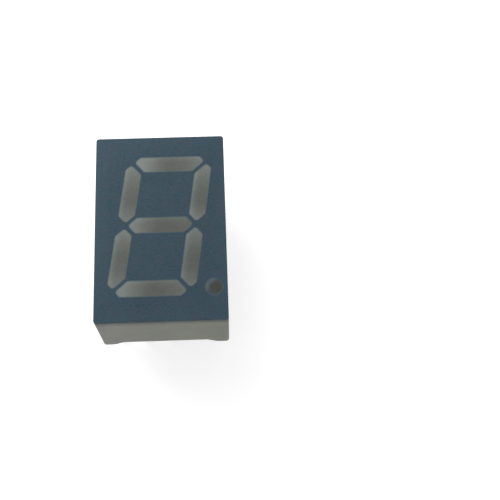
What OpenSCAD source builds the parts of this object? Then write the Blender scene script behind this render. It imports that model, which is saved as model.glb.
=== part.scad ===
// Single-digit seven segment LED display, ten pins in two rows, for a circuit board.
//
// Frame: the origin is the middle of the pin pattern on the seating plane, which is
// the underside of the four feet. +Z leaves the face, +Y goes to the top of the
// digit and +X to its right. The pins hang below z = 0.
//
// Build, from the face down: a moulded housing whose light wells narrow from the
// segment windows to the dies, a resin window in each well, dies and bond wires on
// the front of a circuit board, pins through the board, and dark potting behind it.

/* [Housing] */
// Width of the housing across the digit
body_w = 12.6; // [12.0:0.1:16]
// Length of the housing along the digit
body_l = 19.0; // [18.4:0.1:24]
// Depth from the face to the underside of the feet
body_h = 8.0; // [7.4:0.1:10]
// Thickness of the side walls behind the wells
wall_t = 0.6; // [0.4:0.05:0.7]
// Radius of the four upright corners
corner_r = 0.3; // [0.1:0.05:0.5]
// Thickness of the ink on the face
ink_t = 0.05; // [0.02:0.01:0.1]

/* [Feet] */
// How far the corner feet stand proud of the back rim
foot_h = 0.8; // [0.6:0.1:1.1]
// Flat of a foot along the short walls
foot_short = 0.9; // [0.6:0.1:2]
// Flat of a foot along the long walls
foot_long = 3.4; // [2:0.1:5]
// Slope from a foot up to the rim
foot_slope = 40; // [30:1:45]
// Radius that rounds the slope into the foot and into the rim
foot_r = 0.8; // [0.3:0.1:0.9]

/* [Digit] */
// Height of the digit over its top and bottom bars
digit_h = 14.2; // [12:0.1:15]
// Width of the digit across its upright bars, before it is slanted
digit_w = 8.25; // [7:0.05:8.6]
// Height of the digit's middle above the middle of the housing
digit_rise = 0.14; // [0:0.01:0.3]
// Slant of the digit to the right
slant = 8; // [0:0.5:10]
// Width of a bar
bar_t = 1.45; // [1.2:0.05:1.7]
// Web of face left between two bars, square to their mitres
bar_gap = 0.5; // [0.3:0.05:0.7]
// Depth of the 45 degree cut on the outer corners of the digit
nose = 0.45; // [0.3:0.05:0.6]
// Rounding of the bar corners
bar_r = 0.22; // [0.1:0.02:0.3]

/* [Decimal point] */
// Diameter of the point on the face
point_d = 1.6; // [1:0.1:1.8]
// Centre of the point to the right of the housing's middle
point_x = 5.0; // [4.8:0.05:5.2]
// Centre of the point below the housing's middle
point_y = 6.25; // [5.8:0.05:6.4]

/* [Light wells] */
// Depth of the wells from the face to the circuit board
well_h = 4.0; // [3.2:0.1:4.8]
// Straight wall of a well below the face
land_h = 0.4; // [0.2:0.05:0.8]
// Width of a well's floor
floor_w = 0.8; // [0.6:0.05:1]
// Length of a bar's well floor
floor_l = 2.6; // [2.4:0.1:3.2]
// Diameter of the point's well floor
point_floor_d = 1.0; // [0.9:0.05:1]
// Least web between a well floor and a pin pocket
web_t = 0.3; // [0.2:0.05:0.4]

/* [Circuit board] */
// Thickness of the circuit board
board_t = 1.0; // [0.8:0.1:1.2]
// Clearance between the board's edge and the walls
board_gap = 0.05; // [0.03:0.01:0.1]

/* [Pins] */
// Distance between neighbouring pins in a row
pin_pitch = 2.54; // [2:0.01:2.6]
// Distance between the two rows
row_span = 15.24; // [14.8:0.01:15.6]
// Diameter of a pin below the seating plane
pin_d = 0.5; // [0.4:0.05:0.6]
// Diameter of a pin's root where it stops against the board's back
root_d = 0.6; // [0.6:0.05:0.75]
// Diameter of a pin's tapered tail at its end in front of the board
tail_d = 0.4; // [0.3:0.05:0.45]
// Length of a pin below the seating plane
pin_l = 5.0; // [3:0.1:7]
// Chamfer at the tip of a pin
tip_c = 0.1; // [0.05:0.01:0.15]
// Height of a pin above the front of the board
pin_up = 0.4; // [0.2:0.05:0.5]

/* [Solder joints] */
// Diameter of a solder joint on the board
solder_d = 0.96; // [0.8:0.02:1]
// Height of a solder joint
solder_h = 0.3; // [0.2:0.05:0.4]
// Clearance round a solder joint in its pocket
pocket_gap = 0.07; // [0.05:0.01:0.1]

/* [Dies and bond wires] */
// Side of a die
die_w = 0.3; // [0.25:0.01:0.36]
// Height of a die
die_h = 0.25; // [0.15:0.01:0.3]
// Diameter of a bond wire
gold_d = 0.05; // [0.03:0.01:0.06]
// Height of a bond wire's upright start on its die
wire_rise = 0.12; // [0.08:0.01:0.2]
// Reach of a bond wire from the die's middle to its pad in a bar
wire_reach = 0.9; // [0.5:0.05:1]
// Reach of the bond wire in the point
point_reach = 0.45; // [0.4:0.01:0.5]
// Diameter of the bond at each end of a wire
bond_d = 0.12; // [0.1:0.01:0.14]
// Height of the bond at each end of a wire
bond_h = 0.04; // [0.03:0.01:0.06]

/* [Potting] */
// Thickness of the potting behind the board
pot_t = 1.0; // [0.7:0.1:1.2]
// Width of the potting's concave rise up the walls
rise_w = 2.0; // [0.8:0.1:2.4]
// Height of that rise
rise_h = 1.1; // [0.4:0.05:1.15]
// Radius of the potting's concave rise round a pin
pin_rise_r = 0.6; // [0.2:0.05:0.6]
// Least thickness of the potting's feather edges
edge_t = 0.05; // [0.03:0.01:0.08]
// Clearance between cast or pressed faces that meet
fit_gap = 0.02; // [0.01:0.01:0.03]

/* [Hidden] */

$fn = 32;
over = 0.2;   // how far a cut runs past the face it opens

// Pins in each of the two rows
PINS_IN_ROW = 5;

// Levels above the seating plane
board_top = body_h - well_h;
board_back = board_top - board_t;
pot_back = board_back - pot_t;

// The potting's rise stops short of the rim
rise_z = max(edge_t, min(rise_h, pot_back - foot_h - edge_t));

// Inside of the walls
room_w = body_w - 2 * wall_t;
room_l = body_l - 2 * wall_t;

// Pocket over each row of solder joints
pocket_w = solder_d + 2 * pocket_gap;
pocket_l = min((PINS_IN_ROW - 1) * pin_pitch + pocket_w, room_w);
pocket_h = pin_up + 2 * pocket_gap;

// Half sizes of the upright digit, and the setback of each mitre
half_w = digit_w / 2;
half_h = digit_h / 2;
setback = bar_gap / sqrt(2);

// Vent holes of the board: x, y, diameter
VENTS = [[-2.1, 5.4, 1.3], [0.1, 1.7, 2.0], [-3.0, -1.2, 1.7], [-1.1, -4.4, 2.2]];

// Bars of the digit, each with its mirror signs for x and y
BARS = [
    ["a", 1, 1], ["b", 1, 1], ["c", 1, -1], ["d", 1, -1],
    ["e", -1, -1], ["f", -1, 1], ["g", 1, 1]
];

// Places of the pins: 1 to 5 along the bottom row, 6 to 10 back along the top row
PINS = [
    for (i = [0 : 2 * PINS_IN_ROW - 1])
        let (bottom = i < PINS_IN_ROW, step = bottom ? i : 2 * PINS_IN_ROW - 1 - i)
        [(step - (PINS_IN_ROW - 1) / 2) * pin_pitch, (bottom ? -1 : 1) * row_span / 2]
];

// ---- Digit geometry

// Slants a point of the upright digit and lifts it to the digit's middle
function slanted(p) = [p[0] + tan(slant) * p[1], p[1] + digit_rise];

function is_level(bar) = bar == "a" || bar == "d";
function is_middle(bar) = bar == "g";

// Outline of the top bar, with its long inner mitres and cut outer corners
function level_outline() =
    let (inner = half_w - bar_t - setback, tip = half_w - nose - setback)
    [
        [-inner, half_h - bar_t],
        [-tip, half_h - nose],
        [nose - tip, half_h],
        [tip - nose, half_h],
        [tip, half_h - nose],
        [inner, half_h - bar_t]
    ];

// Outline of the upper right bar
function upright_outline() = [
    [half_w - nose, half_h - nose - setback],
    [half_w - bar_t, half_h - bar_t - setback],
    [half_w - bar_t, bar_t / 2 + setback],
    [half_w - bar_t / 2, setback],
    [half_w, bar_t / 2 + setback],
    [half_w, half_h - 2 * nose - setback]
];

// Outline of the middle bar, pointed at both ends
function middle_outline() =
    let (tip = half_w - bar_t / 2 - setback, edge = tip - bar_t / 2)
    [
        [-tip, 0],
        [-edge, bar_t / 2],
        [edge, bar_t / 2],
        [tip, 0],
        [edge, -bar_t / 2],
        [-edge, -bar_t / 2]
    ];

function outline(bar, sx, sy) = [
    for (p = is_level(bar) ? level_outline()
           : is_middle(bar) ? middle_outline()
           : upright_outline())
        slanted([sx * p[0], sy * p[1]])
];

// Middle of a bar's well floor. The level bars keep clear of the pin pockets.
pocket_edge = (row_span - pocket_w) / 2 - web_t - floor_w / 2;
upright_mid = (half_h - nose) / 2;

function floor_middle(bar, sx, sy) =
    is_middle(bar) ? slanted([0, 0])
    : is_level(bar)
        ? let (p = slanted([0, sy * (half_h - bar_t / 2)]))
          [p[0], sy * min(sy * p[1], pocket_edge)]
        : slanted([sx * (half_w - bar_t / 2), sy * upright_mid]);

// Direction of a bar, as the turn of its long axis from +X
function bar_turn(bar) = is_level(bar) || is_middle(bar) ? 0 : 90 - slant;

// ---- Light wells and what stands on their floors

// Room of one bar's light well, from the board to height top. The sides are a loft
// from the rounded, slanted window to the narrow floor. Inset shrinks it all round.
module bar_well(bar, sx, sy, top, inset = 0) {
    mid = floor_middle(bar, sx, sy);
    reach = (floor_l - floor_w) / 2;
    hull() {
        translate([0, 0, body_h - land_h])
            linear_extrude(top - body_h + land_h)
                offset(r = bar_r) offset(delta = -bar_r - inset)
                    polygon(outline(bar, sx, sy));
        translate([mid[0], mid[1], board_top])
            rotate(bar_turn(bar))
                for (s = [-1, 1])
                    translate([s * reach, 0, 0])
                        cylinder(d = floor_w - 2 * inset, h = land_h);
    }
}

// Room of the point's well: a cone up to the same short straight land
module point_well(top, inset = 0) {
    translate([point_x, -point_y, board_top])
        rotate_extrude()
            polygon([
                [0, 0],
                [point_floor_d / 2 - inset, 0],
                [point_d / 2 - inset, well_h - land_h],
                [point_d / 2 - inset, top - board_top],
                [0, top - board_top]
            ]);
}

// Moves to the middle of a bar's die, with +X along the bar
module at_die(bar, sx, sy) {
    mid = floor_middle(bar, sx, sy);
    translate([mid[0], mid[1], board_top])
        rotate(bar_turn(bar)) children();
}

// The point's die stands to one side of its small floor
module at_point_die() {
    translate([point_x - point_reach / 2, -point_y, board_top]) children();
}

module die() {
    color("goldenrod")
        translate([-die_w / 2, -die_w / 2, 0]) cube([die_w, die_w, die_h]);
}

// Bond wire from the top of a die over to its pad on the board. Grow thickens it.
module bond_wire(reach, grow = 0) {
    r = gold_d / 2 + grow;
    crown = die_h + wire_rise;
    color("gold") {
        translate([reach / 2, 0, crown])
            rotate([90, 0, 0])
                rotate_extrude(angle = 180)
                    translate([reach / 2, 0]) circle(r);
        translate([0, 0, die_h]) cylinder(r = r, h = wire_rise);
        translate([reach, 0, 0]) cylinder(r = r, h = crown);
        translate([0, 0, die_h]) cylinder(r = bond_d / 2 + grow, h = bond_h + grow);
        translate([reach, 0, 0]) cylinder(r = bond_d / 2 + grow, h = bond_h + grow);
    }
}

// Room that a die and its wire take in the resin over them
module die_room(reach) {
    translate([-die_w / 2 - fit_gap, -die_w / 2 - fit_gap, -over])
        cube([die_w + 2 * fit_gap, die_w + 2 * fit_gap, die_h + fit_gap + over]);
    bond_wire(reach, fit_gap);
    translate([reach, 0, -over]) cylinder(r = bond_d / 2 + fit_gap, h = bond_h + over);
}

// Milky resin window of a bar, flush with the face
module bar_window(bar, sx, sy) {
    color("#7f8681")
        difference() {
            bar_well(bar, sx, sy, body_h, fit_gap);
            at_die(bar, sx, sy) die_room(wire_reach);
        }
}

module point_window() {
    color("#474945")
        difference() {
            point_well(body_h, fit_gap);
            at_point_die() die_room(point_reach);
        }
}

// ---- Housing

// Upright block with round corners, from height z0 to z1
module block(w, l, r, z0, z1) {
    translate([0, 0, z0])
        linear_extrude(z1 - z0) {
            square([w - 2 * r, l], center = true);
            square([w, l - 2 * r], center = true);
            for (x = [-1, 1], y = [-1, 1])
                translate([x * (w / 2 - r), y * (l / 2 - r)]) circle(r);
        }
}

// Gap between two feet, across the part along Y: flat at the rim, and at each end a
// slope that runs softly into the rim and into the foot
module foot_gap(span, across) {
    soft = foot_r * tan(foot_slope / 2);    // length that the radius takes of each side
    along = [soft * cos(foot_slope), soft * sin(foot_slope)];
    foot_end = span / 2 - soft;
    rim_end = foot_end - foot_h / tan(foot_slope);
    rotate([90, 0, 0])
        linear_extrude(across, center = true)
            for (side = [0, 1])
                mirror([side, 0])
                    difference() {
                        union() {
                            polygon([
                                [-over, -over], [span / 2, -over], [span / 2, 0],
                                [foot_end - along[0], along[1]],
                                [rim_end + along[0], foot_h - along[1]],
                                [rim_end - soft, foot_h], [-over, foot_h]
                            ]);
                            translate([rim_end - soft, foot_h - foot_r]) circle(foot_r);
                        }
                        translate([span / 2, foot_r]) circle(foot_r);
                    }
}

// Moulded shell: face, light wells, walls and feet in one piece, inked on its face
module housing() {
    difference() {
        union() {
            color("#bdc1b9") block(body_w, body_l, corner_r, 0, body_h - ink_t);
            color("#41535e") block(body_w, body_l, corner_r, body_h - ink_t, body_h);
        }
        // room for the board and the potting
        translate([-room_w / 2, -room_l / 2, -over])
            cube([room_w, room_l, board_top + over]);
        // pockets over the solder joints
        for (y = [-1, 1])
            translate([-pocket_l / 2, y * row_span / 2 - pocket_w / 2, board_top - over])
                cube([pocket_l, pocket_w, pocket_h + over]);
        // light wells
        for (b = BARS) bar_well(b[0], b[1], b[2], body_h + over);
        point_well(body_h + over);
        // rim between the feet
        foot_gap(body_w - 2 * foot_short, body_l + 2 * over);
        rotate(90) foot_gap(body_l - 2 * foot_long, body_w + 2 * over);
    }
}

// ---- Circuit board, pins and solder

module board() {
    color("#2f3b33")
        difference() {
            translate([-room_w / 2 + board_gap, -room_l / 2 + board_gap, board_back])
                cube([room_w - 2 * board_gap, room_l - 2 * board_gap, board_t]);
            for (p = PINS)
                translate([p[0], p[1], board_back - over])
                    cylinder(d = pin_d + 2 * fit_gap, h = board_t + 2 * over);
            for (v = VENTS)
                translate([v[0], v[1], board_back - over])
                    cylinder(d = v[2], h = board_t + 2 * over);
        }
}

// Radius of a pin's tapered tail at a height above the board's back
function tail_r(h) = (pin_d - (pin_d - tail_d) * h / (board_t + pin_up)) / 2;

// Pin: chamfered tip, straight leg, root that swells up to the board, tapered tail
module pin(i) {
    color("silver")
        translate([PINS[i - 1][0], PINS[i - 1][1], 0])
            rotate_extrude()
                polygon([
                    [0, -pin_l],
                    [pin_d / 2 - tip_c, -pin_l],
                    [pin_d / 2, -pin_l + tip_c],
                    [pin_d / 2, 0],
                    [root_d / 2, board_back],
                    [tail_r(0), board_back],
                    [tail_r(board_t + pin_up), board_top + pin_up],
                    [0, board_top + pin_up]
                ]);
}

// Cone of solder that holds a pin's tail on the front of the board
module solder(i) {
    color("lightgray")
        translate([PINS[i - 1][0], PINS[i - 1][1], board_top])
            rotate_extrude()
                polygon([
                    [tail_r(board_t) + fit_gap, 0],
                    [solder_d / 2, 0],
                    [pin_d / 2 + 2 * fit_gap, solder_h],
                    [tail_r(board_t + solder_h) + fit_gap, solder_h]
                ]);
}

// ---- Potting

// Room left open behind the potting: its rounded edge is the rise up the walls
module pot_hollow() {
    x = room_w / 2 - fit_gap - edge_t - rise_w;
    y = room_l / 2 - fit_gap - edge_t - rise_w;
    hull()
        for (i = [-x, x], j = [-y, y])
            translate([i, j, pot_back - rise_z]) {
                scale([rise_w, rise_w, rise_z]) sphere(1);
                translate([0, 0, -rise_z - over]) cylinder(r = rise_w, h = rise_z + over);
            }
}

// All the room inside the walls that the potting may take, from height z0 to z1
module pot_room(z0, z1) {
    translate([-room_w / 2 + fit_gap, -room_l / 2 + fit_gap, z0])
        cube([room_w - 2 * fit_gap, room_l - 2 * fit_gap, z1 - z0]);
}

// Outline of the rise round a pin: a hollow quarter round that ends in a feather edge
function pin_rise() =
    let (rim = root_d / 2 + fit_gap + edge_t, steps = 8)
    [
        [0, -pin_rise_r],
        for (i = [0 : steps])
            let (a = 90 * i / steps)
            [rim + pin_rise_r * (1 - cos(a)), -pin_rise_r * (1 - sin(a))],
        [rim + pin_rise_r, edge_t],
        [0, edge_t]
    ];

// Potting: it rises up the walls and round each pin, and fills the vent holes
module potting() {
    rise = max(rise_z, pin_rise_r);
    color("#15181a")
        difference() {
            union() {
                difference() {
                    pot_room(pot_back - rise_z, board_back);
                    pot_hollow();
                }
                intersection() {
                    pot_room(pot_back - pin_rise_r, board_back);
                    for (p = PINS)
                        translate([p[0], p[1], pot_back])
                            rotate_extrude() polygon(pin_rise());
                }
                for (v = VENTS)
                    translate([v[0], v[1], board_back])
                        cylinder(d = v[2] - 2 * fit_gap, h = board_t);
            }
            for (p = PINS)
                translate([p[0], p[1], pot_back - rise - over])
                    cylinder(d = root_d + 2 * fit_gap, h = pot_t + rise + 2 * over);
        }
}

housing();
board();
potting();

for (b = BARS) {
    bar_window(b[0], b[1], b[2]);
    at_die(b[0], b[1], b[2]) die();
    at_die(b[0], b[1], b[2]) bond_wire(wire_reach);
}
point_window();  // window_point
at_point_die() die();  // die_point
at_point_die() bond_wire(point_reach);  // wire_point

for (i = [1 : 2 * PINS_IN_ROW]) {
    pin(i);
    solder(i);
}
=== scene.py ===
# %% [markdown]
# # Dressing a seven segment display
#
# The part is a single-digit LED display, 12.6 mm wide and 19 mm long, that stands on
# ten pins. Its engineered solids arrive as a fixed frame, so this lesson never moves or
# resizes them. It gives them softened edges, real finishes, a studio and a camera.
#
# Everything is in metres with the face up. The solids are tiny, so every shape is
# worked on in millimetres and scaled down last, where rounding can't harm it.

# %% Load the frame
import math

import bmesh
import bpy
from mathutils import Matrix, Vector, noise as noise_field


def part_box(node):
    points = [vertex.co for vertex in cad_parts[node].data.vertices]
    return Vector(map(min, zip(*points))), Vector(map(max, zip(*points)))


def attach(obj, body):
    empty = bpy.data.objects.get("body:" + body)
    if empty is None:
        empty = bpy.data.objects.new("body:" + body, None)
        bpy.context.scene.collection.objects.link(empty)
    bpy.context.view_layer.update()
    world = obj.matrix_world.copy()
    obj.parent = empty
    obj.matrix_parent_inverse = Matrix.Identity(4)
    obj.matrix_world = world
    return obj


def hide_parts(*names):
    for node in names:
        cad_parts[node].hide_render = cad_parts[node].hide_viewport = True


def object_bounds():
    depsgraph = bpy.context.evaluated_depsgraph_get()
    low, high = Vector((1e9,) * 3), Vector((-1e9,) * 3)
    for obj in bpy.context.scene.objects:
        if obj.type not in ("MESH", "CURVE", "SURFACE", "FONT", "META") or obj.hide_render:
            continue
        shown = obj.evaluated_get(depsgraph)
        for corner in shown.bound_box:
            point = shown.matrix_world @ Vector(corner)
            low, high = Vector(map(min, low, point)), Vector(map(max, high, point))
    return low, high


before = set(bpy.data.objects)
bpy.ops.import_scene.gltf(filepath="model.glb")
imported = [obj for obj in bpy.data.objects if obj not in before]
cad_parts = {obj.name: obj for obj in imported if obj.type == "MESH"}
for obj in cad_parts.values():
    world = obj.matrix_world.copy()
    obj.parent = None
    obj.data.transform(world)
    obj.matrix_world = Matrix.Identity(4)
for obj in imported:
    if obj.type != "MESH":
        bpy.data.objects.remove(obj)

MM = 0.001
cad_low, cad_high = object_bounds()
print("nodes:", len(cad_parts))
print("box in mm:", [round(v / MM, 3) for v in (*cad_low, *cad_high)])

# %% [markdown]
# ## A mesh that can be worked on
#
# An imported solid is a heap of loose triangles. To soften its edges we need whole
# faces, so a copy is merged, and triangles that lie in one plane are dissolved into one
# face. Redrawing the solid by hand would also do, but a copy can't drift from the size.

# %% Box and copy helpers
WELD = 0.0005         # points nearer than this, in mm, become one
FLAT_WITHIN = 0.6     # triangles that meet at less than this, in degrees, become one


def box_mm(node):
    """A CAD node's lowest and highest corners in millimetres."""
    return [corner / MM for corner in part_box(node)]


def merged_copy(node):
    """A CAD node's mesh in millimetres, with its triangles merged into whole faces."""
    bm = bmesh.new()
    bm.from_mesh(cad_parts[node].data)
    bmesh.ops.scale(bm, vec=Vector((1, 1, 1)) / MM, verts=bm.verts)
    bmesh.ops.remove_doubles(bm, verts=bm.verts, dist=WELD)
    bmesh.ops.dissolve_limit(
        bm, angle_limit=math.radians(FLAT_WITHIN), use_dissolve_boundaries=False,
        verts=bm.verts, edges=bm.edges, delimit=set())
    return bm


# %% [markdown]
# ## From a working mesh to a piece
#
# A rounded edge looks right only if the flat faces beside it still shade as flat. Plain
# smooth shading bends the light of a whole wall towards its edge, and flat shading
# shows each strip of the rounding. A Weighted Normal modifier gives the large faces the
# lead, which avoids both. The piece then stands for its CAD node, rides on the part's
# one body and holds its finish in a material slot.

# %% Finish helper
def finish_piece(bm, name, material, node, crease=35):
    """Turns a millimetre bmesh into a piece in metres that stands for a CAD node. Edges
    sharper than crease, in degrees, stay sharp in the shading."""
    bmesh.ops.scale(bm, vec=Vector((MM, MM, MM)), verts=bm.verts)
    mesh = bpy.data.meshes.new(name)
    bm.to_mesh(mesh)
    bm.free()
    mesh.set_sharp_from_angle(angle=math.radians(crease))
    mesh.materials.append(material)
    piece = bpy.data.objects.new(name, mesh)
    bpy.context.scene.collection.objects.link(piece)
    shading = piece.modifiers.new("flat_faces_lead", "WEIGHTED_NORMAL")
    shading.keep_sharp = True
    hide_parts(node)
    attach(piece, "root")
    print("made", name, "for", node, "with", len(mesh.polygons), "faces")


# %% [markdown]
# ## Building materials from nodes
#
# Each finish is a small network of nodes on one Principled shader. Reading the Object
# coordinates ties a pattern to the piece in metres, so a grain of a tenth of a
# millimetre stays that size from every side. A network could be drawn by hand in the
# Shader Editor, but short helpers make many of them alike: one adds a node and wires
# it, one turns a colour into linear light, one starts a finish and one feeds the
# shader.

# %% Node helpers
def put(tree, kind, props=None, **sockets):
    """Adds a shader node. Sockets are set by name, or by number after an underscore, to
    a value or to another socket."""
    node = tree.nodes.new("ShaderNode" + kind)
    for key, value in (props or {}).items():
        setattr(node, key, value)
    for key, value in sockets.items():
        socket = node.inputs[int(key[1:])] if key[0] == "_" else node.inputs[key]
        if isinstance(value, bpy.types.NodeSocket):
            tree.links.new(value, socket)
        else:
            socket.default_value = value
    return node


def paint(red, green, blue):
    """A colour given in screen values from 0 to 255, as linear light."""
    def linear(value):
        value /= 255
        return value / 12.92 if value < 0.04045 else ((value + 0.055) / 1.055) ** 2.4
    return (linear(red), linear(green), linear(blue), 1.0)


def new_finish(name, **constants):
    """A material, its tree, its shader and the Object coordinates to start from."""
    material = bpy.data.materials.new(name)
    material.use_nodes = True
    tree = material.node_tree
    shader = tree.nodes["Principled BSDF"]
    for key, value in constants.items():
        shader.inputs[key.replace("_", " ")].default_value = value
    place = put(tree, "TexCoord").outputs["Object"]
    print("finish:", name)
    return material, tree, shader, place


def feed(tree, shader, **patterns):
    """Wires patterns into the shader's sockets, with _ for a space in a name."""
    for key, pattern in patterns.items():
        tree.links.new(pattern, shader.inputs[key.replace("_", " ")])


# %% [markdown]
# ## Patterns
#
# Grain, colour drift and ragged borders all start from one cloud pattern at different
# sizes. Its values crowd round the middle, so spread() stretches the part that matters
# over the range that a finish asks for. A painted image could do the same work, but its
# detail would run out when the camera comes close, and the mesh would need unwrapping.

# %% Pattern helpers
CLOUD_LOW, CLOUD_HIGH = 0.3, 0.7     # nearly all of a cloud pattern lies between these


def noise(tree, place, size_mm, detail=3.0, roughness=0.5, stretch=None):
    """A cloud pattern from 0 to 1 whose blobs are about size_mm across."""
    if stretch:
        place = put(tree, "Mapping", Vector=place, Scale=stretch).outputs[0]
    return put(tree, "TexNoise", Vector=place, Scale=1 / (size_mm * MM), Detail=detail,
               Roughness=roughness).outputs["Fac"]


def fine_grain(tree, place, size_mm=0.13):
    """The even grain that sprayed ink, moulded plastic and cast resin share."""
    return noise(tree, place, size_mm, detail=2.0, roughness=0.6)


def remap(tree, value, from_min, from_max, to_min, to_max, smooth=False):
    """Maps a value from one range to another and clamps it there."""
    props = {"interpolation_type": "SMOOTHSTEP"} if smooth else {}
    names = {"_0": value, "_1": from_min, "_2": from_max, "_3": to_min, "_4": to_max}
    return put(tree, "MapRange", props, **names).outputs[0]


def spread(tree, clouds, low, high):
    """Stretches a cloud pattern over a range."""
    return remap(tree, clouds, CLOUD_LOW, CLOUD_HIGH, low, high)


# %% [markdown]
# ## Arithmetic on patterns
#
# Patterns are joined by adding, multiplying and mixing them, and the result is a colour,
# a roughness or a relief. Group nodes would hide these steps, and in a lesson it is
# better to see them. Relief comes from a Bump node: a grain a few thousandths of a
# millimetre deep would need millions of faces if it were modelled.

# %% Arithmetic helpers
def math_node(tree, operation, first, second=0.0):
    """Joins two values by an operation such as ADD or MAXIMUM."""
    return put(tree, "Math", {"operation": operation}, _0=first, _1=second).outputs[0]


def mix(tree, share, first, second):
    """Mixes two values. A share of 1 gives the second."""
    return put(tree, "Mix", _0=share, _2=first, _3=second).outputs[0]


def blend(tree, share, first, second):
    """Mixes two colours. A share of 1 gives the second."""
    return put(tree, "Mix", {"data_type": "RGBA"},
               _0=share, _6=first, _7=second).outputs[2]


def split(tree, vector):
    """The X, Y and Z of a vector."""
    return put(tree, "SeparateXYZ", Vector=vector).outputs


def relief(tree, shader, height, depth_mm, strength=1.0):
    """Presses a height pattern into the surface, depth_mm deep."""
    bump = put(tree, "Bump", Height=height, Distance=depth_mm * MM, Strength=strength)
    feed(tree, shader, Normal=bump.outputs[0])


# %% [markdown]
# ## The housing finish: where the ink lies
#
# The shell is moulded in pale plastic, so that its light wells reflect, and its face is
# sprayed with matt slate-blue ink. The ink is full on the flat face and thins out on
# the rounded edges, and a mist of overspray drifts a little way down the walls. One
# material holds all of it: the depth below the face and the distance from the outer
# walls decide how much ink shows. Two materials on different faces would also do, but
# the border between them would be too clean.

# %% Ink cover
box_high = box_mm("housing")[1]
FACE_FADE = (0.040, 0.003)      # mm below the face: where the ink sets in, and is full
EDGE_FADE = (0.12, 0.06)        # the same on the outer rounding
EDGE_SHARE, EDGE_RAGGED = 0.82, 0.008       # most that shows there; mm it wanders
MIST_FADE = (1.30, -0.12)       # the same for the mist, which is never full
MIST_SHARE, MIST_DRIFT = 0.66, 0.16
OUTER_SKIN = (0.10, 0.14)       # mm in from the outer walls: outside ends between these


def heights(depths):
    """Two depths below the face, in mm, as heights in metres."""
    return [(box_high.z - depth) * MM for depth in depths]


housing_finish, tree, shader, place = new_finish(
    "inked_plastic", Specular_IOR_Level=0.18)
x, y, height = split(tree, place)
gap_x = math_node(tree, "SUBTRACT", box_high.x * MM, math_node(tree, "ABSOLUTE", x))
gap_y = math_node(tree, "SUBTRACT", box_high.y * MM, math_node(tree, "ABSOLUTE", y))
gap = math_node(tree, "MINIMUM", gap_x, gap_y)
outside = remap(tree, gap, OUTER_SKIN[0] * MM, OUTER_SKIN[1] * MM, 1.0, 0.0)
drift = spread(tree, noise(tree, place, size_mm=1.6, detail=4.0),
               -MIST_DRIFT * MM, MIST_DRIFT * MM)
mist = remap(tree, math_node(tree, "ADD", height, drift), *heights(MIST_FADE),
             0.0, MIST_SHARE, smooth=True)
ragged = spread(tree, noise(tree, place, size_mm=0.25),
                -EDGE_RAGGED * MM, EDGE_RAGGED * MM)
on_edge = remap(tree, math_node(tree, "ADD", height, ragged), *heights(EDGE_FADE),
                0.0, EDGE_SHARE)
on_walls = math_node(tree, "MULTIPLY", outside,
                     math_node(tree, "MAXIMUM", mist, on_edge))
on_face = remap(tree, height, *heights(FACE_FADE), 0.0, 1.0, smooth=True)
is_ink = math_node(tree, "MAXIMUM", on_face, on_walls)
print("ink sets in at", round(box_high.z - FACE_FADE[0], 3), "mm above the seat")

# %% [markdown]
# ## The colours of the ink and the plastic
#
# Sprayed ink is never one colour. It has a fine grain, slow clouds where the coat is
# thicker, warmer patches, and it is made a little paler within about 2 mm of the border
# of the face. The plastic has the same clouds with less grain. A ramp of many colours
# could hold all of
# this, but mixes of a few paints, each with one cause, are easier to adjust.

# %% Ink and plastic colours
INK, INK_DEEP, INK_WARM = paint(58, 80, 92), paint(40, 61, 71), paint(60, 70, 84)
PLASTIC, PLASTIC_DEEP = paint(170, 172, 163), paint(155, 157, 148)
INK_GRAIN, PLASTIC_GRAIN = 0.75, 0.4     # share of the grain in each, against clouds
BORDER_WIDTH, BORDER_LIFT = 2.2, 0.22    # mm, and how much paler it is
WARM_FROM, WARM_TO, WARM_SHARE = 0.42, 0.62, 0.45

clouds = spread(tree, noise(tree, place, size_mm=3.5, detail=2.0), 0.0, 1.0)
specks = fine_grain(tree, place)
grain = spread(tree, specks, 0.0, 1.0)
border = remap(tree, gap, 0.0, BORDER_WIDTH * MM, BORDER_LIFT, 0.0, smooth=True)
ink_tone = math_node(tree, "ADD", mix(tree, INK_GRAIN, clouds, grain), border)
warm = remap(tree, noise(tree, place, size_mm=0.9, roughness=0.6), WARM_FROM, WARM_TO,
             0.0, WARM_SHARE, smooth=True)
ink_colour = blend(tree, warm, blend(tree, ink_tone, INK_DEEP, INK), INK_WARM)
plastic_colour = blend(tree, mix(tree, PLASTIC_GRAIN, clouds, grain),
                       PLASTIC_DEEP, PLASTIC)
print("ink in linear light:", [round(value, 3) for value in INK[:3]])

# %% [markdown]
# ## Dark resin on the rim
#
# On the back, the potting has wetted the inner edge of the rim and crept outwards in
# places, furthest at the two ends. It is dark and glossy there, where bare plastic is
# pale and matt. A second mesh for the smear would be as thin as paint, so it is painted:
# the distance from the outer walls with a slow cloud added gives it a border that
# wanders, and it changes the colour and the roughness together.

# %% Resin smears, and the finished housing material
RIM_SMEAR = paint(86, 88, 85)
RIM_TOP = (0.82, 0.90)            # mm above the seat: the rim ends between these
SMEAR_EDGE, SMEAR_SHARE = (0.34, 0.52), 0.9     # mm from the outer walls; most shown
CREEP = (-0.28, 0.22)             # mm that the border wanders: inwards, outwards
END_ZONE, END_SHIFT = (2.2, 4.2), 0.18          # mm from an end; mm it creeps further
BARE_ROUGH, SMEAR_ROUGH, INK_ROUGH = 0.55, 0.22, 0.64

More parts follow.
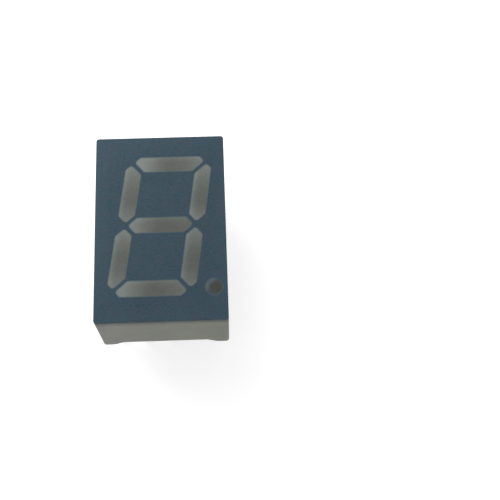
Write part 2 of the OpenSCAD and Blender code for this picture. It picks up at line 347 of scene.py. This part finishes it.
near_ends = remap(tree, gap_y, END_ZONE[0] * MM, END_ZONE[1] * MM,
                  END_SHIFT * MM, 0.0, smooth=True)
creep = spread(tree, noise(tree, place, size_mm=1.9), CREEP[0] * MM, CREEP[1] * MM)
reach = math_node(tree, "ADD", math_node(tree, "ADD", gap, creep), near_ends)
on_rim = remap(tree, height, RIM_TOP[0] * MM, RIM_TOP[1] * MM, 1.0, 0.0)
smear = math_node(tree, "MULTIPLY", math_node(tree, "SUBTRACT", on_rim, outside),
                  remap(tree, reach, SMEAR_EDGE[0] * MM, SMEAR_EDGE[1] * MM,
                        0.0, SMEAR_SHARE, smooth=True))
bare_colour = blend(tree, smear, plastic_colour, RIM_SMEAR)
bare_roughness = remap(tree, smear, 0.0, 1.0, BARE_ROUGH, SMEAR_ROUGH)
feed(tree, shader, Base_Color=blend(tree, is_ink, bare_colour, ink_colour),
     Roughness=mix(tree, is_ink, bare_roughness, INK_ROUGH))
relief(tree, shader, specks, depth_mm=0.006)
print("nodes in the housing finish:", len(tree.nodes))

# %% [markdown]
# ## The housing
#
# Moulded edges are never knife sharp: the mould is cut with small radii, and the light
# that they catch is what makes plastic look moulded. The outer edges get one radius and
# the openings of the wells a slightly larger one, which the resin windows will cover. A
# Bevel modifier would round every edge alike, the hidden ones too, so the edges are
# picked by their place and bevelled in two passes instead.

# %% Edge helpers
TOUCH = 0.02            # mm within which a point lies on an outer wall
CORNER = 0.32           # mm within which it lies on a rounded corner
LEVEL = 0.001           # mm within which two heights are the same


def is_outer(vert):
    """True on one of the four outer walls, or on the rounded corners between them."""
    gap_x = box_high.x - abs(vert.co.x)
    gap_y = box_high.y - abs(vert.co.y)
    return min(gap_x, gap_y) < TOUCH or max(gap_x, gap_y) < CORNER


def is_opening(vert):
    """True on the flat face, inside the outer walls."""
    return abs(vert.co.z - box_high.z) < LEVEL and not is_outer(vert)


def sharp_edges(bm, wanted, least=30):
    """The edges between faces that meet at more than least degrees, where wanted."""
    return [edge for edge in bm.edges
            if edge.is_manifold and edge.calc_face_angle() > math.radians(least)
            and all(wanted(vert) for vert in edge.verts)]


def soften(bm, edges, radius, segments):
    """Rounds edges to a radius in mm."""
    bmesh.ops.bevel(bm, geom=edges, offset=radius, offset_type="OFFSET",
                    segments=segments, profile=0.5, affect="EDGES", material=-1,
                    clamp_overlap=False)


# %% Housing piece
EDGE_RADIUS, EDGE_STEPS = 0.09, 3
OPENING_RADIUS, OPENING_STEPS = 0.12, 4
OPENING_ANGLE = 60      # degrees: the face meets a well more steeply than this

shell = merged_copy("housing")
outer = sharp_edges(shell, is_outer)
soften(shell, outer, EDGE_RADIUS, EDGE_STEPS)
openings = sharp_edges(shell, is_opening, OPENING_ANGLE)
soften(shell, openings, OPENING_RADIUS, OPENING_STEPS)
print("housing:", len(outer), "outer edges,", len(openings), "opening edges")
finish_piece(shell, "housing_shell", housing_finish, "housing")

# %% [markdown]
# ## The resin windows: bright at the ends, dim in the middle
#
# Each bar is a plug of milky resin that fills a light well. The well is shallow near
# the ends of a bar and deep over the LED, so more daylight comes back at the ends, and
# the side of a bar that is nearest the light looks a little brighter than the other.
# All of this is painted into the resin's colour as painted light and shade: bright ends,
# with the left or upper end brighter because it is nearer the light, a dim middle that
# is partly the die and partly painted shade, and a painted highlight along the upper or
# left side. We could build the wells' optics with a volume shader, but it would be slow
# and grainy. Four numbers for each bar give the same look. Where the resin thins out to
# a lip over the rounded opening, the ink under it shows through.

# %% Painted light of each bar
# the resin in painted shade and in painted light; each bar's painted light blends between
# them
RESIN_SHADED, RESIN_LIT = paint(81, 84, 79), paint(121, 128, 123)
LEVEL_BARS = "adg"
# painted light at the left or lower end, at the dimmest place and at the other end, and
# where along the bar that dimmest place is, from -1 to 1
PAINTED_BAR_LIGHT = {
    "a": (1.40, 0.06, 0.60, 0.03),
    "b": (0.77, 0.05, 0.80, -0.25),
    "c": (0.60, 0.03, 0.69, -0.20),
    "d": (1.38, 0.05, 0.44, 0.08),
    "e": (0.64, 0.06, 0.85, -0.05),
    "f": (0.64, 0.04, 0.73, -0.20),
    "g": (1.04, -0.04, 0.20, 0.07),
}
UPPER_PAINTED_HIGHLIGHT, LEFT_PAINTED_HIGHLIGHT = 0.32, 0.50      # painted highlight added at the upper or the left side
END_SLOPE, SIDE_SLOPE = 1.7, 2          # how steeply the painted light climbs to ends and sides
CLOUD_GLOW, GRAIN_GLOW = 0.04, 0.09     # how much the clouds and the grain change it
print("bars:", "".join(PAINTED_BAR_LIGHT), "of which level:", LEVEL_BARS)

# %% Placing helpers
LIP_FADE, LIP_INK = (0.010, 0.0), 0.90  # mm below the face: ink sets in, shows most


def centred(tree, place, middle, turn, half_sizes):
    """Object coordinates moved and turned onto a piece, from -1 to 1 along it."""
    return put(tree, "Mapping", {"vector_type": "TEXTURE"}, Vector=place,
               Location=middle, Rotation=(0, 0, turn), Scale=half_sizes).outputs[0]


def climb_to(tree, value, start, end, height, slope):
    """A curve that is flat at start and climbs steeper and steeper to height at end."""
    way = remap(tree, value, start, end, 0.0, 1.0)
    return math_node(tree, "MULTIPLY", math_node(tree, "POWER", way, slope), height)


def under_lip(tree, place, colour):
    """Lets the ink show through where a window thins out over its rounded opening."""
    share = remap(tree, split(tree, place)["Z"], *heights(LIP_FADE), 0, LIP_INK)
    return blend(tree, share, colour, INK)


# %% Window finish for the bars
SLANT = math.radians(8)
BAR_HALF_WIDTH = 0.705                      # mm
DIM_ROUGH, BRIGHT_ROUGH = 0.42, 0.56


def resin_finish(bar):
    """Milky resin with painted light and shade that follow the bar it fills."""
    low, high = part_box("window_" + bar)
    middle = (low + high) / 2
    middle.z = high.z
    level = bar in LEVEL_BARS
    half_length = (high.x - low.x if level else high.y - low.y) / 2
    material, tree, shader, place = new_finish(
        "milky_resin_" + bar, Specular_IOR_Level=0.2)
    turn = 0 if level else math.pi / 2 - SLANT
    stretch = 1 if level else 1 / math.cos(SLANT)
    local = centred(tree, place, middle, turn,
                    (half_length * stretch, BAR_HALF_WIDTH * MM, MM))
    along, across, _ = split(tree, local)
    first, dimmest, last, dim_at = PAINTED_BAR_LIGHT[bar]
    side_highlight = UPPER_PAINTED_HIGHLIGHT if level else LEFT_PAINTED_HIGHLIGHT
    clouds = spread(tree, noise(tree, place, size_mm=0.7, detail=2.0),
                    -CLOUD_GLOW, CLOUD_GLOW)
    grain = spread(tree, fine_grain(tree, place), -GRAIN_GLOW, GRAIN_GLOW)
    # glow is painted light and shade, added up from the ends, the side, the clouds and the
    # grain
    glow = dimmest
    for part in (climb_to(tree, along, dim_at, -1, first - dimmest, END_SLOPE),
                 climb_to(tree, along, dim_at, 1, last - dimmest, END_SLOPE),
                 climb_to(tree, across, 0, 1, side_highlight, SIDE_SLOPE), clouds, grain):
        glow = math_node(tree, "ADD", glow, part)
    resin = blend(tree, glow, RESIN_SHADED, RESIN_LIT)
    feed(tree, shader, Base_Color=under_lip(tree, place, resin),
         Roughness=remap(tree, glow, 0.0, 1.0, DIM_ROUGH, BRIGHT_ROUGH))
    relief(tree, shader, clouds, depth_mm=0.004)
    return material


# %% [markdown]
# ## The bar windows
#
# The housing lies face down on a film while the resin is cast, so the windows end level
# with the face, and the resin runs out over the rounded edge of each opening in a thin
# lip. As it cures it shrinks, which leaves each window very slightly hollow. The inset
# operator makes both. With a negative thickness it carries the outline of the top face
# outwards, step by step along the rounding. With a positive one it steps back in, a
# touch deeper each time. A sculpted surface would be no truer and cost more faces.

# %% Bar windows
DISH = ((0.05, -0.004), (0.05, -0.003), (0.06, -0.003))   # step in, step down, in mm


def cast(bm):
    """Carries a window out over the rounding of its opening, and dishes its top."""
    top = max(bm.faces, key=lambda face: face.calc_center_median().z)
    bmesh.ops.translate(bm, vec=(0, 0, -OPENING_RADIUS), verts=top.verts)
    turns = [math.radians(90) * step / OPENING_STEPS
             for step in range(OPENING_STEPS + 1)]
    for here, there in zip(turns, turns[1:]):
        bmesh.ops.inset_region(
            bm, faces=[top], use_even_offset=True,
            thickness=OPENING_RADIUS * (math.cos(there) - math.cos(here)),
            depth=OPENING_RADIUS * (math.sin(there) - math.sin(here)))
    for inset, depth in DISH:
        bmesh.ops.inset_region(bm, faces=[top], thickness=inset, depth=depth,
                               use_even_offset=True)
    print("dish of", round(top.calc_area(), 2), "mm2")


for bar in PAINTED_BAR_LIGHT:
    window = merged_copy("window_" + bar)
    cast(window)
    finish_piece(window, "segment_" + bar, resin_finish(bar),
                 "window_" + bar, crease=25)

# %% [markdown]
# ## The decimal point
#
# The point's well is narrow and deep, so its window looks dark, like a small pupil: that
# dark is partly the die deep under the resin and partly painted shade. Only the side
# nearest the light shows, as a paler crescent near the upper left of its rim, and that
# crescent is a painted highlight. A round gradient would make the pupil but not the
# crescent, so distances from two middles and one direction paint them: the pupil's
# middle, the window's, and the light's side.

# %% Decimal point finish
# painted shade in the pupil, and a painted highlight for the crescent on the light's side
POINT_SHADE, POINT_EDGE = paint(60, 62, 56), paint(62, 73, 75)
POINT_HIGHLIGHT = paint(79, 92, 93)
PUPIL_MIDDLE, PUPIL_EDGE = (0.28, -0.12, 0), (0.45, 1.05)      # in radii of the point
CRESCENT_REACH = (0.35, 0.85)                                  # the same
CRESCENT_AIM, CRESCENT_SIDE = (-0.8, 0.6, 0), (0.05, 0.75)
POINT_GRAIN = 0.06

low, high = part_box("window_point")
middle, radius = (low + high) / 2, (high.x - low.x) / 2
middle.z = high.z
point_finish, tree, shader, place = new_finish(
    "milky_resin_point", Specular_IOR_Level=0.2)
local = centred(tree, place, middle, 0, (radius, radius, MM))
flat = put(tree, "VectorMath", {"operation": "MULTIPLY"},
           _0=local, _1=(1, 1, 0)).outputs[0]
pupil = put(tree, "VectorMath", {"operation": "DISTANCE"}, _0=flat, _1=PUPIL_MIDDLE)
from_middle = put(tree, "VectorMath", {"operation": "LENGTH"}, _0=flat)
aim = put(tree, "VectorMath", {"operation": "DOT_PRODUCT"}, _0=flat, _1=CRESCENT_AIM)
# the crescent is a painted highlight on the side nearest the light
crescent = math_node(
    tree, "MULTIPLY",
    remap(tree, from_middle.outputs["Value"], *CRESCENT_REACH, 0, 1, smooth=True),
    remap(tree, aim.outputs["Value"], *CRESCENT_SIDE, 0, 1, smooth=True))
fine = fine_grain(tree, place, size_mm=0.14)
rim_share = math_node(
    tree, "ADD", remap(tree, pupil.outputs["Value"], *PUPIL_EDGE, 0, 1, smooth=True),
    spread(tree, fine, -POINT_GRAIN, POINT_GRAIN))
resin = blend(tree, crescent, blend(tree, rim_share, POINT_SHADE, POINT_EDGE),
              POINT_HIGHLIGHT)
feed(tree, shader, Base_Color=under_lip(tree, place, resin),
     Roughness=spread(tree, fine, 0.40, 0.55))
relief(tree, shader, fine, depth_mm=0.003)

# %% Decimal point piece
window = merged_copy("window_point")
cast(window)
finish_piece(window, "segment_point", point_finish, "window_point",
             crease=25)

# %% [markdown]
# ## The pins' finish
#
# A pin is round tinned wire, drawn through a hard ring, so fine lines run along it, and
# the tin has dulled in patches. A cloud pattern squeezed along Z makes the lines, and a
# broad one the patches. Anisotropic gloss would also look drawn, but it needs a
# direction on every face, and on a wire this thin nobody would see the difference.

# %% Pin finish
TIN, TIN_DULL = paint(146, 144, 138), paint(122, 120, 115)
DRAWN_ALONG = (1, 1, 0.08)       # stretches a pattern along the pin
BRIGHT_FROM, BRIGHT_TO = 0.35, 0.65
pin_finish, tree, shader, place = new_finish("dull_tin", Metallic=1.0)
patches = noise(tree, place, size_mm=0.8)
drawn = noise(tree, place, size_mm=0.06, detail=2.0, stretch=DRAWN_ALONG)
bright = remap(tree, patches, BRIGHT_FROM, BRIGHT_TO, 0, 1)
feed(tree, shader, Base_Color=blend(tree, bright, TIN_DULL, TIN),
     Roughness=spread(tree, patches, 0.40, 0.30))
relief(tree, shader, drawn, depth_mm=0.002)

# %% [markdown]
# ## The pins
#
# A pin's end was cut and tumbled, so the tip is a small bright dome, and the root swells
# where the wire was pressed before it went into the board. A turned part like this is
# one profile spun round its axis: draw half the outline as a chain of edges, then let
# the spin operator sweep it. A stock cylinder would have no root and no dome.

# %% Spin helper
def spun(profile, x, y, steps=32):
    """A closed solid turned about an upright axis at x, y from (radius, z) pairs."""
    bm = bmesh.new()
    chain = [bm.verts.new((r, 0, z)) for r, z in profile]
    edges = [bm.edges.new(pair) for pair in zip(chain, chain[1:])]
    bmesh.ops.spin(bm, geom=chain + edges, cent=(0, 0, 0), axis=(0, 0, 1),
                   angle=math.tau, steps=steps, use_merge=True, use_duplicate=False)
    bmesh.ops.remove_doubles(bm, verts=bm.verts, dist=WELD)
    bmesh.ops.recalc_face_normals(bm, faces=bm.faces)
    bmesh.ops.translate(bm, vec=(x, y, 0), verts=bm.verts)
    return bm


# %% Pins
LEG_R, ROOT_R, TAIL_R = 0.25, 0.30, 0.25                          # mm
TIP = ((0.11, 0.004), (0.05, 0.028), (0.012, 0.075), (0, 0.14))   # mm in, mm up
TAIL_END = ((0.22, 0.06), (0.15, 0.01))                           # radius, mm down
board_low, board_high = box_mm("board")
pin_places = []
for number in range(1, 11):
    node = f"pin_{number}"
    low, high = box_mm(node)
    middle = (low + high) / 2
    pin_places.append(middle.xy)
    tip = [(LEG_R - inwards, low.z + up) for inwards, up in TIP]
    tail_end = [(radius, high.z - down) for radius, down in TAIL_END]
    profile = [(0, low.z), *tip, (LEG_R, 0), (ROOT_R, board_low.z),
               (TAIL_R, board_low.z), *tail_end, (0, high.z)]
    finish_piece(spun(profile, middle.x, middle.y), f"lead_{number}", pin_finish,
                 node, crease=50)
print("pins:", len(pin_places), "with their tips at", round(low.z, 2), "mm")

# %% [markdown]
# ## How the potting climbs
#
# Dark resin is poured over the back of the board. It wets the walls and the pins, so
# its surface climbs them in smooth hollows. Two short formulas give the height of a
# climb: near a wall it is a wide low quarter ellipse, and round a pin a tight quarter
# round. A fluid simulation would find the same shapes in minutes instead of
# milliseconds.

# %% Climb helpers
RISE_W, RISE_H, PIN_RISE = 2.0, 1.09, 0.6     # mm
EDGE, PIN_SKIN = 0.05, 0.03                   # mm of resin left at the end of a climb
SOFT = 3                                      # joins two climbs without a crease
pot_high = box_mm("potting")[1]
POT_BACK = board_low.z - 1.0                  # the resin is 1 mm thick between climbs


def wall_rise(gap):
    """Height of the climb at a distance from a wall: a hollow quarter ellipse."""
    reach = min(1.0, max(0.0, EDGE + RISE_W - gap) / RISE_W)
    return RISE_H * (1 - math.sqrt(1 - reach ** 2))


def pin_rise(distance):
    """Height of the climb at a distance from a pin's axis: a hollow quarter round."""
    gap = max(0.0, min(PIN_RISE, distance - LEG_R - PIN_SKIN))
    return PIN_RISE - math.sqrt(PIN_RISE ** 2 - (PIN_RISE - gap) ** 2)


def climb(point):
    """All the climbs at a point, joined so softly that no crease is left."""
    rises = [wall_rise(pot_high[axis] - abs(point[axis])) for axis in (0, 1)]
    rises += [pin_rise((point.xy - pin).length) for pin in pin_places
              if (point.xy - pin).length < PIN_RISE + ROOT_R]
    return min(RISE_H, sum(rise ** SOFT for rise in rises) ** (1 / SOFT))


print("resin level at", round(POT_BACK, 3), "mm, climbs of", RISE_H, "mm")

# %% [markdown]
# ## The potting
#
# We start from a fine grid, ask for each point how high the resin climbs there, and
# move the point. The grid is divided again near the pins, where the hollows are tight,
# and the faces that border that region are cut into triangles. A slow wave, far smaller
# than can be felt, keeps the reflections from looking machined. Then the sheet is
# extruded to the back of the board, and later on through the vent holes. Bevelling the
# CAD piece would be shorter, but its hollows are made of flat steps, and they would
# show in so glossy a resin.

# %% Potting surface
GRID = (76, 118)                              # a division for about each 0.15 mm
FINE_REACH, FINE_CUTS = 1.0, 2                # mm round a pin; cuts in each edge there
WAVES = ((2.5, 0.030), (0.8, 0.006))          # size and height of each, in mm
pour = bmesh.new()
bmesh.ops.create_grid(pour, x_segments=GRID[0], y_segments=GRID[1], size=1)
bmesh.ops.scale(pour, vec=(pot_high.x, pot_high.y, 1), verts=pour.verts)
near_pins = [edge for edge in pour.edges
             if any((edge.verts[0].co.xy - pin).length < FINE_REACH
                    for pin in pin_places)]
bmesh.ops.subdivide_edges(pour, edges=near_pins, cuts=FINE_CUTS, use_grid_fill=True)
borders = [face for face in pour.faces if len(face.verts) > 4]
bmesh.ops.triangulate(pour, faces=borders, ngon_method="BEAUTY")
for vert in pour.verts:
    rise = climb(vert.co)
    wave = sum(height * noise_field.noise(vert.co / size) for size, height in WAVES)
    vert.co.z = POT_BACK - rise + wave * (1 - rise / RISE_H)
print("resin surface:", len(pour.faces), "faces")

# %% [markdown]
# ## The vents
#
# The resin filled the board's vent holes when it was poured, and the CAD potting ends
# in a flat round face at the front of each. Their places could be typed in, but reading
# them from those faces means that no number is written down twice.

# %% Vent places
solid_pour = merged_copy("potting")
plugs = [face for face in solid_pour.faces
         if all(abs(vert.co.z - board_high.z) < LEVEL for vert in face.verts)]
vents = sorted(((face.calc_center_median_weighted().xy,
                 math.sqrt(face.calc_area() / math.pi)) for face in plugs),
               key=lambda vent: -vent[0].y)
solid_pour.free()
for centre, radius in vents:
    print("vent at", [round(v, 2) for v in centre], "mm,", round(2 * radius, 2), "wide")

# %% Potting body and the filled vents
def lift_to(bm, geom, z):
    """Extrudes a region and moves the new faces to height z. With its edges in the
    list, the operator also clears the old faces away from inside the solid."""
    made = bmesh.ops.extrude_face_region(bm, geom=geom)
    for vert in (item for item in made["geom"] if isinstance(item, bmesh.types.BMVert)):
        vert.co.z = z


lift_to(pour, pour.faces[:], board_low.z)
front = [face for face in pour.faces
         if all(vert.co.z == board_low.z for vert in face.verts)]
for centre, radius in vents:
    plug = [face for face in front
            if (face.calc_center_median().xy - centre).length < radius]
    chosen = set(plug)
    rim = {vert for face in plug for vert in face.verts
           if not chosen.issuperset(vert.link_faces)}
    for vert in rim:
        vert.co.xy = centre + (vert.co.xy - centre).normalized() * radius
    front = [face for face in front if face not in chosen]
    edges = [edge for edge in pour.edges if not chosen.isdisjoint(edge.link_faces)]
    lift_to(pour, plug + edges, board_high.z)
bmesh.ops.recalc_face_normals(pour, faces=pour.faces)
print("potting:", len(pour.faces), "faces with", len(vents), "vents filled")

# %% [markdown]
# ## The potting's finish
#
# The resin is glossy and nearly black with a cold tint, and three things tell that it
# is a liquid that set. Where it thins out towards the rim, the pale wall behind it warms
# and lifts its colour. The vent holes show as dim round spots, the one nearest the top
# most clearly. A few tiny bubbles have gathered near the pins. A transparent resin with
# volume absorption could show the first two by itself, but it is slow, and most other
# programs can't read it. So all three are painted by place, from the height and from
# the distance to each hole.

# %% Potting colours and the thin resin at the rim
POT_BLACK, POT_THIN = paint(9, 10, 13), paint(84, 84, 77)
STREAK = 0.15                       # mm that the border of the thin resin wanders
THIN_FROM, THIN_SLOPE = 0.15, 1.6   # mm of climb where it sets in, and how steeply
pot_finish, tree, shader, place = new_finish("black_potting", Specular_IOR_Level=0.35)
_, sideways, height = split(tree, place)
streak = spread(tree, noise(tree, place, size_mm=0.8), -STREAK * MM, STREAK * MM)
thin = remap(tree, math_node(tree, "ADD", height, streak),
             (POT_BACK - THIN_FROM) * MM, (POT_BACK - RISE_H) * MM, 0.0, 1.0)
colour = blend(tree, math_node(tree, "POWER", thin, THIN_SLOPE), POT_BLACK, POT_THIN)

# %% Vent spots and bubbles
VENT_GREY, BUBBLE_GREY = paint(104, 102, 97), paint(128, 132, 134)
VENT_SHOWS = (0.95, 0.30, 0.45, 0.30)   # how clearly each vent shows, from the top down
VENT_EDGE = (1.15, 0.55)                # in radii: where a spot begins, and is full
BUBBLE_CELL = 0.85                      # mm: one bubble in each such cell
BUBBLE_EDGE, BUBBLE_SHARE = (0.045, 0.085), 0.8      # in cells: full within, gone past
BUBBLE_ZONE = (5.6, 6.6)                # mm from the middle: none before, all after

for (centre, radius), shows in zip(vents, VENT_SHOWS):
    local = centred(tree, place, (centre.x * MM, centre.y * MM, 0), 0,
                    (radius * MM, radius * MM, 1))
    away = put(tree, "VectorMath", {"operation": "LENGTH"}, _0=local).outputs["Value"]
    spot = remap(tree, away, *VENT_EDGE, 0.0, shows, smooth=True)
    colour = blend(tree, spot, colour, VENT_GREY)
cells = put(tree, "TexVoronoi", Vector=place, Scale=1 / (BUBBLE_CELL * MM))
bubble = math_node(
    tree, "MULTIPLY",
    remap(tree, cells.outputs["Distance"], *BUBBLE_EDGE, BUBBLE_SHARE, 0.0),
    remap(tree, math_node(tree, "ABSOLUTE", sideways), BUBBLE_ZONE[0] * MM,
          BUBBLE_ZONE[1] * MM, 0.0, 1.0))
colour = blend(tree, bubble, colour, BUBBLE_GREY)
print("vent spots:", len(vents), "and bubbles past", BUBBLE_ZONE[0], "mm")

# %% Potting gloss, and the finished piece
DUST_FROM, DUST_TO = 0.45, 0.75         # where the cloud pattern turns to dust
WET_ROUGH, DUST_ROUGH = 0.07, 0.16
dust = noise(tree, place, size_mm=0.9, detail=4.0, roughness=0.6)
feed(tree, shader, Base_Color=colour,
     Roughness=remap(tree, dust, DUST_FROM, DUST_TO, WET_ROUGH, DUST_ROUGH))
relief(tree, shader, noise(tree, place, size_mm=0.5, detail=2.0), depth_mm=0.004,
       strength=0.5)
finish_piece(pour, "potting_pour", pot_finish, "potting", crease=60)

# %% [markdown]
# ## The board
#
# The board, the solder, the LED dies and the bond wires have the right shape already, so
# they stay as the frame brought them, and each kind gets its own finish. They are hidden
# in the closed display, but a part that is cut open should not turn out grey inside.
#
# The board is woven glass under a dark green solder mask, and the weave shows through as
# a faint grid. Two Wave Textures at right angles make the threads, and the higher of the
# two is the one on top. A brick or checker pattern would be too hard edged for cloth.

# %% Board finish
BAND_TURN = math.tau / 20      # a Wave Texture of scale 1 repeats after this length
THREAD = 0.5                   # mm from thread to thread
FLATTENED = (1, 1, 0.2)        # keeps the weave alike through the board's thickness
MASK_DARK, MASK_LIGHT = paint(34, 52, 42), paint(44, 66, 52)


def bands(tree, place, axis, pitch_mm, wobble):
    """Soft stripes across an axis, from 0 to 1, that repeat after pitch_mm."""
    return put(tree, "TexWave", {"bands_direction": axis}, Vector=place,
               Scale=BAND_TURN / (pitch_mm * MM), Distortion=wobble).outputs["Fac"]


board_finish, tree, shader, place = new_finish(
    "solder_mask", Roughness=0.38, Coat_Weight=0.25)
cloth = put(tree, "Mapping", Vector=place, Scale=FLATTENED).outputs[0]
weave = math_node(tree, "MAXIMUM", bands(tree, cloth, "X", THREAD, wobble=0.6),
                  bands(tree, cloth, "Y", THREAD, wobble=0.6))
feed(tree, shader, Base_Color=blend(tree, weave, MASK_DARK, MASK_LIGHT))
relief(tree, shader, weave, depth_mm=0.008, strength=0.6)

# %% [markdown]
# ## The solder
#
# A solder joint freezes from bright liquid tin, and tiny crystals leave it frosted in
# patches. One cloud pattern drives the colour, the roughness and the relief, so that
# all three change at the same place. Three patterns of their own would give patches
# that don't belong together.

# %% Solder finish
SOLDER, SOLDER_FROST = paint(176, 177, 178), paint(208, 208, 205)
solder_finish, tree, shader, place = new_finish("solder_fillet", Metallic=1.0)
frost = noise(tree, place, size_mm=0.12, roughness=0.6)
feed(tree, shader, Base_Color=blend(tree, frost, SOLDER, SOLDER_FROST),
     Roughness=spread(tree, frost, 0.18, 0.42))
relief(tree, shader, frost, depth_mm=0.006)

# %% [markdown]
# ## The LED dies
#
# A die is a tiny block of dark crystal, sawn from a wafer that was grown in layers, with
# a golden tint. Stripes along Z paint the layers, and a fine cloud gives the sawn sides
# their uneven gloss. Layers cut into the mesh would be far too thin to see.

# %% Die finish
LAYER = 0.05                   # mm from layer to layer
CRYSTAL, CRYSTAL_GOLD = paint(96, 78, 46), paint(168, 140, 84)
die_finish, tree, shader, place = new_finish("led_crystal", Specular_IOR_Level=0.7)
layers = bands(tree, place, "Z", LAYER, wobble=0.3)
feed(tree, shader, Base_Color=blend(tree, layers, CRYSTAL, CRYSTAL_GOLD),
     Roughness=spread(tree, noise(tree, place, size_mm=0.05), 0.2, 0.4))

# %% [markdown]
# ## The bond wires
#
# Each die is joined to its pad by a gold wire thinner than a hair. Bare gold needs no
# more than a small change of colour and gloss where it was drawn and handled. A cloud
# finer than the wire is thick does that, because a coarser one would colour whole wires.

# %% Bond wire finish
GOLD_DEEP, GOLD = paint(214, 168, 78), paint(243, 205, 116)
gold_finish, tree, shader, place = new_finish("bond_gold", Metallic=1.0)
rubbed = noise(tree, place, size_mm=0.02, detail=2.0)
feed(tree, shader, Base_Color=blend(tree, rubbed, GOLD_DEEP, GOLD),
     Roughness=spread(tree, rubbed, 0.18, 0.32))

# %% [markdown]
# ## Giving the finishes to the solids
#
# A solid from the frame keeps its mesh, and only its material slot is filled. The first
# word of a node's name says what it is made of. A list of all the names would do the
# same, but it would have to be kept in step with the frame.

# %% Give the finishes to the CAD pieces
finish_of = {"board": board_finish, "solder": solder_finish, "die": die_finish,
             "wire": gold_finish}
finished = []
for node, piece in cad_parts.items():
    finish = finish_of.get(node.split("_")[0])
    if finish:
        if piece.data.materials:
            piece.data.materials[0] = finish
        else:
            piece.data.materials.append(finish)
        finished.append(node)
print("CAD pieces kept and finished:", len(finished))

# %% [markdown]
# ## Camera
#
# The camera looks down on the face from about 70 degrees, a little turned, through a
# fairly long lens, from about 100 mm away. That shows the face nearly square on and the
# lower wall under it. Three turns set its direction, and the same turns carry its
# place, which is written along the camera's own right, up and back. A Track To
# constraint would aim it too, but it puts its target in the middle of the view, and the
# display stands to the left of that.

# %% Camera
LENS, SENSOR = 67.97, 36                    # mm
NEAREST, FARTHEST = 0.002, 10               # m
CAMERA_TURNS = (("Z", -5.025), ("X", 19.945), ("Z", 2.977))     # degrees
CAMERA_PLACE = (8.756, 0.434, 98.267)       # mm
camera_data = bpy.data.cameras.new("camera")
camera_data.lens = LENS
camera_data.sensor_width = SENSOR
camera_data.clip_start, camera_data.clip_end = NEAREST, FARTHEST
camera = bpy.data.objects.new("camera", camera_data)
bpy.context.scene.collection.objects.link(camera)
turned = Matrix.Identity(4)
for axis, degrees in CAMERA_TURNS:
    turned = turned @ Matrix.Rotation(math.radians(degrees), 4, axis)
camera.matrix_world = turned @ Matrix.Translation(Vector(CAMERA_PLACE) * MM)
bpy.context.scene.camera = camera
print("camera at", [round(v / MM, 1) for v in camera.matrix_world.translation], "mm")

# %% [markdown]
# ## Floor
#
# The display stands on its pins, so the floor lies under their tips. It is a pale card,
# and a small glow that only the camera and reflections see carries it to white. More
# lamp light would whiten it too, but it would also bleach the display and wash out the
# soft shadow. Seen from below, the card lets the camera through.

# %% Floor
FLOOR_HALF = 0.6                            # m
floor_bm = bmesh.new()
bmesh.ops.create_grid(floor_bm, x_segments=1, y_segments=1, size=FLOOR_HALF)
bmesh.ops.translate(floor_bm, vec=(0, 0, cad_low.z), verts=floor_bm.verts)
floor_mesh = bpy.data.meshes.new("floor")
floor_bm.to_mesh(floor_mesh)
floor_bm.free()
floor = bpy.data.objects.new("floor", floor_mesh)
bpy.context.scene.collection.objects.link(floor)
print("floor at", round(cad_low.z / MM, 2), "mm")

# %% Floor finish
FLOOR_CARD, WHITE = (0.72, 0.72, 0.72, 1), (1, 1, 1, 1)
CAMERA_GLOW, MIRRORED_GLOW = 0.70, 0.25
floor_finish = bpy.data.materials.new("floor_white")
floor_finish.use_nodes = True
tree = floor_finish.node_tree
tree.nodes.clear()
path = put(tree, "LightPath").outputs
seen = math_node(tree, "MULTIPLY", path["Is Camera Ray"], CAMERA_GLOW)
mirrored = math_node(tree, "MULTIPLY", path["Is Glossy Ray"], MIRRORED_GLOW)
card = put(tree, "BsdfDiffuse", Color=FLOOR_CARD).outputs[0]
glow = put(tree, "Emission", Color=WHITE,
           Strength=math_node(tree, "ADD", seen, mirrored)).outputs[0]
lit = put(tree, "AddShader", _0=card, _1=glow).outputs[0]
under = math_node(tree, "MULTIPLY", put(tree, "NewGeometry").outputs["Backfacing"],
                  path["Is Camera Ray"])
clear = put(tree, "BsdfTransparent").outputs[0]
both = put(tree, "MixShader", _0=under, _1=lit, _2=clear).outputs[0]
put(tree, "OutputMaterial", Surface=both)
floor_mesh.materials.append(floor_finish)
print("floor glow for the camera:", CAMERA_GLOW)

# %% [markdown]
# ## Light
#
# A plain soft studio: a white world that fills every side, and one square panel, high
# and to the left, near enough that the face darkens a little towards its lower right. A
# second small panel, low at the front right, lifts the lower wall and the feet. Together
# they light an upward face so that its colour comes out as it was written. The world is
# seen white by the camera and in reflections, but fills with less. A sky map would give
# livelier reflections, but its light is harder to keep level.

# %% World
WORLD_FILL = 0.38
world = bpy.data.worlds.new("studio")
bpy.context.scene.world = world
world.use_nodes = True
tree = world.node_tree
tree.nodes.clear()
path = put(tree, "LightPath").outputs
seen = math_node(tree, "MAXIMUM", path["Is Camera Ray"], path["Is Transmission Ray"])
seen = math_node(tree, "MAXIMUM", seen, path["Is Glossy Ray"])
sky = put(tree, "Background", Color=WHITE,
          Strength=remap(tree, seen, 0.0, 1.0, WORLD_FILL, 1.0))
put(tree, "OutputWorld", Surface=sky.outputs[0])
bpy.context.scene.view_settings.view_transform = "Standard"
print("world fill:", WORLD_FILL)

# %% Lamps
def panel(name, place_mm, size_mm, watts):
    """A square lamp that faces the display and that the camera doesn't see."""
    data = bpy.data.lights.new(name, "AREA")
    data.shape = "SQUARE"
    data.size = size_mm * MM
    data.energy = watts
    lamp = bpy.data.objects.new(name, data)
    lamp.location = Vector(place_mm) * MM
    lamp.rotation_mode = "QUATERNION"
    lamp.rotation_quaternion = (-lamp.location).to_track_quat("-Z", "Y")
    lamp.visible_camera = False
    bpy.context.scene.collection.objects.link(lamp)
    print("lamp", name, "of", watts, "W at", place_mm, "mm")


panel("key", place_mm=(-40, 48, 68), size_mm=80, watts=0.077)
panel("low_front", place_mm=(36, -46, -2), size_mm=14, watts=0.0019)
